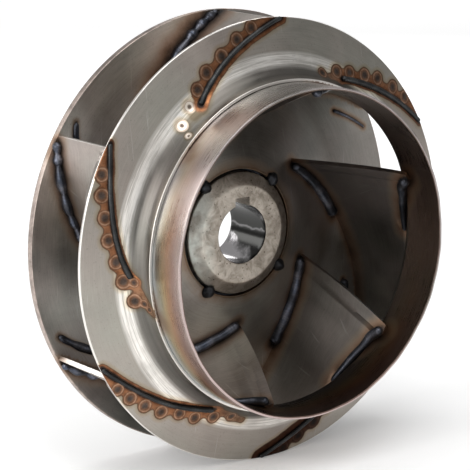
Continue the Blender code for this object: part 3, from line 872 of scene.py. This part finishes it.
def under_shroud(shares, aside, clear):
    """Points beside the blade's head, clear of the shroud's underside, the collar's back edge and its inner
    wall, with the direction that points out of the corner."""
    wall = [(COLLAR_RADIUS - COLLAR_WALL, COLLAR_FRONT), (COLLAR_RADIUS - COLLAR_WALL, COLLAR_BACK)]
    side = np.array(wall + [p for p in shroud_line(SHROUD_THICKNESS)[::-1] if p[1] > COLLAR_BACK])
    plan = shroud_path(shares)
    out = outward(plan)
    foot, head = plate_face(plate_path(shares)), shroud_underside(plan, FIT)
    depth = np.linspace(0, 0.5, 240)[:, None, None]
    tried = head + (foot - head) * depth + in_space(out * aside, 0)
    here = np.stack([np.hypot(tried[..., 0], tried[..., 2]), tried[..., 1]], -1)
    run, past = side[1:] - side[:-1], here[..., None, :] - side[:-1]
    share = np.clip((past * run).sum(-1) / (run**2).sum(-1), 0, 1)
    nearest = np.linalg.norm(past - run * share[..., None], axis=-1).min(-1)
    points = tried[(nearest >= clear).argmax(0), np.arange(len(shares))]
    # The run does not follow the collar's back edge sharply
    return softened(points, 24), in_space(out * np.sign(aside), 0) + unit(foot - head)


def softened(line, rounds):
    """The line with its corners rubbed down, its two ends kept."""
    for _ in range(rounds):
        line[1:-1] = (line[:-2] + 2 * line[1:-1] + line[2:]) / 4
    return line


def share_where(path, radius):
    """The share of a path at which it crosses this radius."""
    shares = np.linspace(0, 1, 400)
    return float(np.interp(radius, abs(path(shares)), shares))


inside_scale = weld_metal("inside_scale", SCALE_DARK, SCALE_CREST_HIGHLIGHT, SCALE_BLUE, 0.34)
# Each kind of run: how far aside of the blade's middle and how clear of the sheet it lies, and its two ends
runs = {
    "root": (-(HALF_BLADE + 0.0015), 0.0013, 0.01, share_where(plate_path, ROOT_BEAD_END)),
    "inlet": (-(HALF_BLADE + 0.0016), 0.0021, 0.03, share_where(shroud_path, INLET_BEAD_END)),
    "outlet": (HALF_BLADE + 0.0017, 0.0014, share_where(plate_path, OUTLET_BEAD_START),
               share_where(plate_path, OUTLET_BEAD_END)),
    "stitch": (-STITCH_OFFSET, 0.0003, 0.82, 1.055),
}
inside_lines = []
line_heats = []
for number in range(BLADES):
    for kind, (aside, clear, start, end) in runs.items():
        find = under_shroud if kind == "inlet" else beside_blade
        line, up = find(np.linspace(start, end, 60), aside, clear)
        line, up = about_axis(line, number), about_axis(up, number)
        name, seed = f"{kind}_bead_{number + 1}", 10 * number + len(inside_lines)
        if kind == "outlet":
            made = bead(name, line, up, (OUTLET_BEAD, OUTLET_BEAD), inside_scale, seed, lumps=True)
            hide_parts(f"outlet_weld_{number + 1}")
        elif kind == "stitch":
            width = FILLET * SMALL_STITCH.get(number, 1.0)
            size = (width, width * 0.9)
            made = bead(name, line, up, size, inside_scale, seed, 0.12, 0.008, grow=(1.35, 0.75))
            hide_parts(f"stitch_weld_{number + 1}")
        else:
            size, grow = (ROOT_BEAD, (0.9, 1.1)) if kind == "root" else (INLET_BEAD, (1.15, 0.7))
            made = bead(name, line, up, (size, size), inside_scale, seed, 0.10, 0.012, 0.012, grow)
            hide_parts(f"{kind}_fillet_{number + 1}")
        inside_lines.append(line)
        line_heats.append(LINE_HEAT.get((kind, number), LINE_HEAT.get(kind, 1.0)))

# Hub tacks and hub weld
# Four blobs of weld hold the hub in the plate's hole from the front, each laid in one touch of the torch.
# Behind, one bead runs all round in the corner between the hub's side and the plate.
TACK_RING = 0.0447
TACK_SIZE = (0.0054, 0.0044)
TACK_HALF_LENGTH = 0.0046
TACK_TILT = math.radians(26)
TACK_ANGLES = (48.5, 128.5, 236.8, 322.5)
HUB_BEAD = 0.0026
HUB_BEAD_CLEAR = 0.0016
TACK_DARK = (0.014, 0.014, 0.015)
TACK_CREST_HIGHLIGHT = (0.07, 0.07, 0.075)
TACK_BLUE = (0.05, 0.055, 0.065)

tack_scale = weld_metal("tack_scale", TACK_DARK, TACK_CREST_HIGHLIGHT, TACK_BLUE, 0.36)
tack_places = []
for number, degrees in enumerate(TACK_ANGLES):
    plan = np.array(cmath.rect(1, math.radians(degrees)))
    out, centre = in_space(plan, 0), plate_face(plan * TACK_RING)
    line = centre + np.cross(out, [0, 1, 0]) * np.linspace(-TACK_HALF_LENGTH, TACK_HALF_LENGTH, 9)[:, None]
    up = out * math.sin(TACK_TILT) + np.array([0, -1, 0]) * math.cos(TACK_TILT)
    made = bead(f"tack_bead_{number + 1}", line, up, TACK_SIZE, tack_scale, number + 41, 0.20, 0.004)
    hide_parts(f"hub_tack_{number + 1}")
    tack_places.append(centre)
round_hub = np.exp(1j * np.linspace(0, 2 * math.pi, 241))
hub_plan = (HUB_RADIUS + HUB_BEAD_CLEAR) * round_hub
hub_ring = in_space(hub_plan, level(plate_line(0), abs(hub_plan)) + HUB_BEAD_CLEAR)
made = bead("hub_back_bead", hub_ring, in_space(round_hub, 1.0), (HUB_BEAD, HUB_BEAD), inside_scale, 61)
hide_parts("hub_weld")

# Shroud seams
# Over each blade a narrow run of weld closes the joint from outside. It starts at the rim, ends in a round
# crater near the flare, and stands proud of the sheet as a smooth near-black ridge.
SEAM_SIZE = (0.00145, 0.0015)
SEAM_LIFT = 0.0002
SEAM_BLACK = (0.024, 0.025, 0.026)
SEAM_CREST_HIGHLIGHT = (0.075, 0.078, 0.078)
# The line of each run: radius in millimetres and turn in degrees from its own blade
HIDDEN_RUN = ((149.3, 267.4), (147.3, 268.9), (141.0, 274.7), (135.4, 281.0), (130.0, 287.5), (126.0, 293.0),
              (121.5, 298.5), (118.2, 302.5))
RUNS = {
    0: HIDDEN_RUN,
    1: HIDDEN_RUN,
    2: ((149.3, 267.1), (146.9, 269.4), (140.0, 276.3), (133.8, 283.1), (128.2, 289.7), (123.4, 296.3),
        (119.6, 302.0)),
    3: ((149.4, 266.2), (147.1, 268.7), (141.3, 275.0), (135.6, 281.8), (130.8, 287.4), (126.9, 291.8),
        (122.3, 296.8), (117.6, 302.2)),
    4: ((149.0, 267.6), (148.0, 268.4), (142.1, 273.7), (137.1, 279.4), (132.8, 284.6), (129.0, 289.5),
        (125.6, 293.8), (122.2, 298.0), (117.6, 303.2)),
    5: ((149.2, 266.0), (147.1, 267.9), (141.6, 273.0), (136.7, 278.4), (132.5, 283.5), (128.6, 288.6),
        (123.3, 295.4), (117.5, 303.3)),
}


def shroud_face(plan, lift=0.0):
    """Points on the shroud's outer face, lifted off it, with the direction that points out of the sheet."""
    up = unit(in_space(plan, 0)) * math.sin(SHROUD_SLOPE) + np.array([0, -math.cos(SHROUD_SLOPE), 0])
    return in_space(plan, level(shroud_line(0), abs(plan))) + up * lift, up


seam_scale = weld_metal("seam_scale", SEAM_BLACK, SEAM_CREST_HIGHLIGHT, SEAM_CREST_HIGHLIGHT, 0.40)
seam_lines = []
for number, run in RUNS.items():
    radii, turns = np.array(run[::-1]).T
    steps, there = np.linspace(0, 1, 60), np.linspace(0, 1, len(radii))
    plan = np.interp(steps, there, radii) / 1000 * np.exp(1j * np.radians(np.interp(steps, there, turns)))
    line, up = (about_axis(part, number) for part in shroud_face(softened(plan, 12), SEAM_LIFT))
    name = f"seam_bead_{number + 1}"
    made = bead(name, line, up, SEAM_SIZE, seam_scale, number + 51, 0.10, 0.006, grow=(1.4, 0.95))
    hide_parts(f"shroud_seam_{number + 1}")
    seam_lines.append(line)

# Spot welds
# Marks that the spot welder pressed through the shroud into the blades' flanges, in a row behind each seam.
# Nothing is added to the sheet: each place keeps its distance to the nearest mark, and the shroud's finish
# draws the rings. Sizes in this section are in millimetres.
SPOT_OUTLINE = 5.3
MARK_SIDE = 6.6
OTHER_SIDE = (7.0, 3.6, 3.4, 4.6, 2.9, 3.7)
SIDE_CHANGE = 1.5
TRAIL_BAND = 2.7
BLEND = 1.2
FAR = 60.0
LINE_STEP = 0.0006
# Where the burnt colours run on past a seam's end towards the neck: radius, and turn in degrees
TRAILS = {
    2: ((119.6, 302.0), (117.0, 307.5)),
    3: ((117.6, 302.2), (115.8, 306.5)),
    4: ((117.6, 303.2), (114.6, 307.5), (112.7, 311.5), (111.9, 315.0)),
    5: ((117.5, 303.3), (117.7, 309.0), (119.3, 312.7), (120.5, 316.5)),
}
# The marks of one blade that lie nearer the axis than this radius are bare
BARE = {3: 121.5}
# Each mark's radius, its turn in degrees from the blade's outlet, and its size where it isn't a full one
ROW = ((146.6, 275.0), (142.0, 280.1), (137.0, 286.0), (132.0, 292.0), (126.8, 298.0), (122.0, 304.4),
       (117.6, 311.0, 0.85), (113.2, 312.4, 0.6))
SPOTS = {
    0: ROW,
    1: ROW,
    2: ((146.6, 276.2), (142.3, 281.7), (137.2, 288.2), (131.8, 293.3), (126.4, 299.4), (122.2, 304.7, 0.95),
        (117.6, 311.2, 0.75)),
    3: ((145.3, 276.1), (140.6, 281.5), (134.8, 287.9), (130.6, 294.5), (125.3, 299.9, 0.95),
        (120.9, 305.3, 0.85), (117.0, 311.5, 0.85), (112.6, 313.3, 0.5)),
    4: ((146.3, 275.4), (142.2, 280.3), (136.9, 285.8), (132.3, 291.8), (126.5, 297.8), (122.0, 303.9),
        (117.1, 310.5), (116.4, 304.6, 0.65), (113.4, 311.7, 0.6), (112.3, 313.7, 0.5)),
    5: ((147.0, 273.3, 0.9), (143.9, 277.8), (139.9, 282.7), (135.8, 288.0), (129.6, 293.5, 0.9),
        (127.3, 299.1, 0.9), (122.1, 305.3, 0.9), (118.7, 311.7, 0.7)),
}
# How sooty each blade's patch is
SCORCH = (1.0, 0.5, 0.12, 0.25, 0.08, 0.0)


def gaps_to(points, places):
    """The distance in millimetres from each point to the nearest of the places, and which one that is."""
    tree = KDTree(len(places))
    for k, place in enumerate(places):
        tree.insert(place, k)
    tree.balance()
    found = [tree.find(p) for p in points]
    return np.array([f[2] for f in found]) * 1000, np.array([f[1] for f in found])


def on_shroud(radius, degrees, number):
    """The place on the shroud's outer face at this radius in millimetres and this turn from a blade."""
    return shroud_face(np.array(cmath.rect(radius / 1000, math.radians(degrees + 60 * number))))[0]


def dense(line):
    return even_steps(line, LINE_STEP)[0]


skin = points_of(shroud)
out = np.hypot(skin[:, 0], skin[:, 2])
outside = skin[:, 1] < level(shroud_line(SHROUD_THICKNESS / 2), out)
spot, bare = np.full(len(skin), FAR), np.zeros(len(skin))
for number, marks in SPOTS.items():
    for radius, degrees, *size in marks:
        gap = np.linalg.norm(skin - on_shroud(radius, degrees, number), axis=1) * 1000 / (size or [1])[0]
        bare = np.where(gap < spot, float(radius < BARE.get(number, 0)), bare)
        spot = np.minimum(spot, gap)
seams = [dense(line) for line in seam_lines]
seam, nearest = gaps_to(skin, np.concatenate(seams))
owner = np.searchsorted(np.cumsum([len(line) for line in seams]), nearest, side="right")
turn = np.degrees(np.arctan2(skin[:, 2], skin[:, 0]))
band, trail = np.zeros(len(skin)), np.full(len(skin), FAR)
for number, run in RUNS.items():
    radii, turns = np.array(run[::-1]).T
    # Past a seam on the side of its marks the sheet burnt further than on the other
    past = (turn - 60 * number - np.interp(out * 1000, radii, turns) + 180) % 360 - 180
    side = 0.5 + 0.5 * np.tanh(np.radians(past) * out * 1000 / SIDE_CHANGE)
    width = OTHER_SIDE[number] * (1 - side) + max(MARK_SIDE, OTHER_SIDE[number]) * side
    band = np.where(owner == number, width, band)
    if number in TRAILS:
        line = np.array([on_shroud(radius, degrees, number) for radius, degrees in TRAILS[number]])
        trail = np.minimum(trail, gaps_to(skin, dense(line))[0])
# Rounded together, so that the fill reaches into the corners between the marks and the seam
parts = (spot - SPOT_OUTLINE, seam - band, trail - TRAIL_BAND)
edge = -BLEND * np.log(sum(np.exp(-part / BLEND) for part in parts))
store(shroud, "spot", np.where(outside, spot, FAR))
store(shroud, "seam", seam)
store(shroud, "edge", np.where(outside, edge, FAR))
store(shroud, "bare", np.where(outside, bare * np.clip((seam - 4) / 2, 0, 1), 0))
store(shroud, "scorch", np.array(SCORCH)[owner])

# Heat tint
# What the torch leaves on the sheets near the welds inside: each vertex keeps its distance to the nearest
# weld in millimetres, and the steel's own colours follow from that.
BEHIND_SEAM = 2.0
heated = [dense(line) for line in inside_lines] + [hub_ring, np.array(tack_places)]
heats = np.repeat(line_heats + [1.0, 1.0], [len(line) for line in heated])


def heat_gap(points):
    """Millimetres to the nearest weld, counted as fewer where its heat spread further."""
    gap, nearest = gaps_to(points, np.concatenate(heated))
    return gap / heats[nearest]


store(shroud, "weld", np.where(outside, FAR, np.minimum(heat_gap(skin), seam + BEHIND_SEAM)))
for piece in (plate, collar, *blades):
    store(piece, "weld", heat_gap(points_of(piece)))

# Floor, light and camera
# A pale studio floor that glows as painted light, soft lamps on the left, above, high in front and weakly
# behind, so that the right stays dark, and the camera at the photograph's place: level, from the left and a
# little above.
FLOOR_SIZE = 14
VIEW_TURN = math.radians(-37.10)
VIEW_RISE = math.radians(12.48)
VIEW_DISTANCE = 10.1643 * OUTER_RADIUS
VIEW_SIDE = -0.1004 * OUTER_RADIUS
VIEW_LIFT = 0.0418 * OUTER_RADIUS
VIEW_LENS = 169.46
AIM = Vector((0, PLATE_BACK, 0))
LIT_POINT = Vector((0, -0.06, 0))
PAPER = (0.86, 0.86, 0.86)
PAPER_PALE = (0.90, 0.90, 0.90)
GLOW_NEAR = 0.12
GLOW_FAR = 0.75
ROOM_LIGHT = 0.35
# Each lamp's place, size and power in watts
LAMPS = {
    "left_lamp": ((-1.9, -0.4, 0.6), 1.5, 29),
    "top_lamp": ((-0.2, -0.2, 2.0), 1.6, 19),
    "high_front_lamp": ((-0.3, -1.3, 1.7), 1.2, 13),
    "front_lamp": ((0.2, -2.0, 0.6), 1.2, 2),
    "back_left_lamp": ((-1.3, 1.3, 0.8), 1.0, 10.5),
    "back_right_lamp": ((1.3, 1.3, 0.8), 1.0, 6.5),
}

bpy.ops.mesh.primitive_plane_add(size=FLOOR_SIZE, location=(0, 0, cad_low.z))
floor = bpy.context.object
floor.name = "studio_floor"
paper, place = new_finish("pale_paper")
tree = paper.node_tree
shader = tree.nodes["Principled BSDF"]
tree.links.new(mixed(cloud(place, 3, 3), PAPER, PAPER_PALE), shader.inputs["Base Color"])
shader.inputs["Roughness"].default_value = 0.9
shader.inputs["Emission Color"].default_value = (1, 1, 1, 1)
# Painted light: the floor glows, brighter towards the back
x, y, _ = axes_of(place)
behind = minus(times(y, math.cos(VIEW_TURN)), times(x, math.sin(VIEW_TURN)))
painted_floor_glow = ramp(times(behind, 0.25), [(0.12, GLOW_NEAR), (0.8, GLOW_FAR)])
tree.links.new(painted_floor_glow, shader.inputs["Emission Strength"])
floor.data.materials.append(paper)

world = bpy.data.worlds.new("studio")
bpy.context.scene.world = world
world.use_nodes = True
backdrop = world.node_tree.nodes["Background"]
backdrop.inputs["Color"].default_value = (1, 1, 1, 1)
backdrop.inputs["Strength"].default_value = ROOM_LIGHT

for name, (place, size, power) in LAMPS.items():
    light = bpy.data.lights.new(name, "AREA")
    light.size = size
    light.energy = power
    lamp = bpy.data.objects.new(name, light)
    lamp.location = place
    lamp.rotation_euler = (LIT_POINT - Vector(place)).to_track_quat("-Z", "Y").to_euler()
    bpy.context.scene.collection.objects.link(lamp)

level_view = Vector((math.sin(VIEW_TURN), -math.cos(VIEW_TURN), 0))
back = level_view * math.cos(VIEW_RISE) + Vector((0, 0, math.sin(VIEW_RISE)))
right = Vector((math.cos(VIEW_TURN), math.sin(VIEW_TURN), 0))
eye = bpy.data.cameras.new("camera")
eye.lens = VIEW_LENS
eye.sensor_width = 36
eye.clip_start = 0.05
eye.dof.use_dof = False
camera = bpy.data.objects.new("camera", eye)
camera.location = AIM + back * VIEW_DISTANCE - right * VIEW_SIDE - back.cross(right) * VIEW_LIFT
camera.rotation_mode = "QUATERNION"
camera.rotation_quaternion = back.to_track_quat("Z", "Y")
bpy.context.scene.collection.objects.link(camera)
bpy.context.scene.camera = camera
bpy.context.scene.view_settings.view_transform = "Standard"
